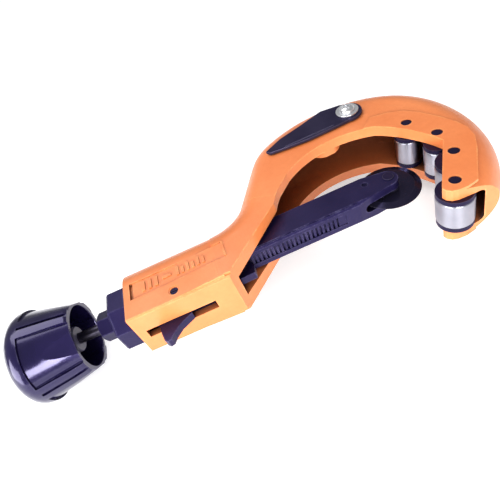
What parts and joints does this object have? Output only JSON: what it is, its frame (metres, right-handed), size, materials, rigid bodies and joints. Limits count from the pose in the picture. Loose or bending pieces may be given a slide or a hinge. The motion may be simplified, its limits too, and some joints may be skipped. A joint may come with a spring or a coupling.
{
  "type": "pipe cutter",
  "caption": "Telescopic quick-release tube cutter: hooked orange jaw with chrome rollers, rack slide with cutting wheel, feed knob, trigger and folding deburring blade.",
  "frame": {"origin": "bottom centre of the whole tool's box, lying on its far face", "axes": "+X from the knob to the jaw, +Y across the hook away from the trigger, +Z through the thickness, towards the face that carries the deburring blade"},
  "size_m": [0.2724, 0.1159, 0.0504],
  "materials": {
    "orange_paint": "semi-gloss enamel on a casting",
    "roller_chrome": "bright plated",
    "black_steel": "blackened",
    "black_coat": "satin black coat",
    "wheel_steel": "polished blued tool steel",
    "spindle_steel": "oiled steel",
    "bright_steel": "zinc plated",
    "blade_steel": "blued spring steel",
    "knob_plastic": "gloss with satin grip panels",
    "hub_plastic": "moulded"
  },
  "bodies": {
    "frame": {"jaw_frame": "orange_paint", "roller_washers": "black_steel", "roller_pin_1": "black_steel", "roller_pin_2": "black_steel", "roller_pin_3": "black_steel", "roller_pin_4": "black_steel", "lock_nut": "black_coat", "end_nut": "black_coat", "guide_screw": "black_steel", "blade_washer": "bright_steel", "blade_screw": "bright_steel"},
    "carriage": {"feed_carriage": "black_steel", "lever_pin": "bright_steel", "lever_spring": "bright_steel"},
    "knob": {"feed_knob": "knob_plastic", "knob_hub": "hub_plastic", "feed_spindle": "spindle_steel"},
    "arm": {"slide_arm": "black_coat", "wheel_pin": "black_steel"},
    "wheel": {"cutting_wheel": "wheel_steel"},
    "lever": {"release_lever": "black_coat"},
    "blade": {"deburring_blade": "blade_steel"},
    "roller_1": {"roller_1": "roller_chrome"},
    "roller_2": {"roller_2": "roller_chrome"},
    "roller_3": {"roller_3": "roller_chrome"},
    "roller_4": {"roller_4": "roller_chrome"}
  },
  "joints": [
    {"name": "knob_spin", "type": "hinge", "parent": "carriage", "child": "knob", "pos_m": [-0.11719, -0.02848, 0.0252], "axis": [1, 0, 0], "range_deg": [-1172, 1172]},
    {"name": "feed_slide", "type": "slide", "parent": "frame", "child": "carriage", "axis": [1, 0, 0], "range_m": [-0.0065, 0.0065]},
    {"name": "arm_telescope", "type": "slide", "parent": "carriage", "child": "arm", "axis": [1, 0, 0], "range_m": [-0.0501, 0]},
    {"name": "wheel_spin", "type": "hinge", "parent": "arm", "child": "wheel", "pos_m": [0.07921, -0.01938, 0.0252], "axis": [0, 0, 1], "continuous": true},
    {"name": "release_press", "type": "hinge", "parent": "carriage", "child": "lever", "pos_m": [-0.03419, -0.03588, 0.0252], "axis": [0, 0, -1], "range_deg": [0, 5], "stiffness_Nm_per_rad": 0.3, "springref_deg": -11.46},
    {"name": "blade_fold", "type": "hinge", "parent": "frame", "child": "blade", "pos_m": [0.08291, 0.03322, 0.0432], "axis": [0, 0, -1], "range_deg": [0, 170]},
    {"name": "roller_1_spin", "type": "hinge", "parent": "frame", "child": "roller_1", "pos_m": [0.10341, 0.00382, 0.0252], "axis": [0, 0, 1], "continuous": true},
    {"name": "roller_2_spin", "type": "hinge", "parent": "frame", "child": "roller_2", "pos_m": [0.11041, -0.01358, 0.0252], "axis": [0, 0, 1], "continuous": true},
    {"name": "roller_3_spin", "type": "hinge", "parent": "frame", "child": "roller_3", "pos_m": [0.10851, -0.03068, 0.0252], "axis": [0, 0, 1], "continuous": true},
    {"name": "roller_4_spin", "type": "hinge", "parent": "frame", "child": "roller_4", "pos_m": [0.09761, -0.04818, 0.0252], "axis": [0, 0, 1], "continuous": true}
  ],
  "couplings": [
    {"joint": "knob_spin", "follows": "feed_slide", "rad_per_m": 3141.6}
  ]
}
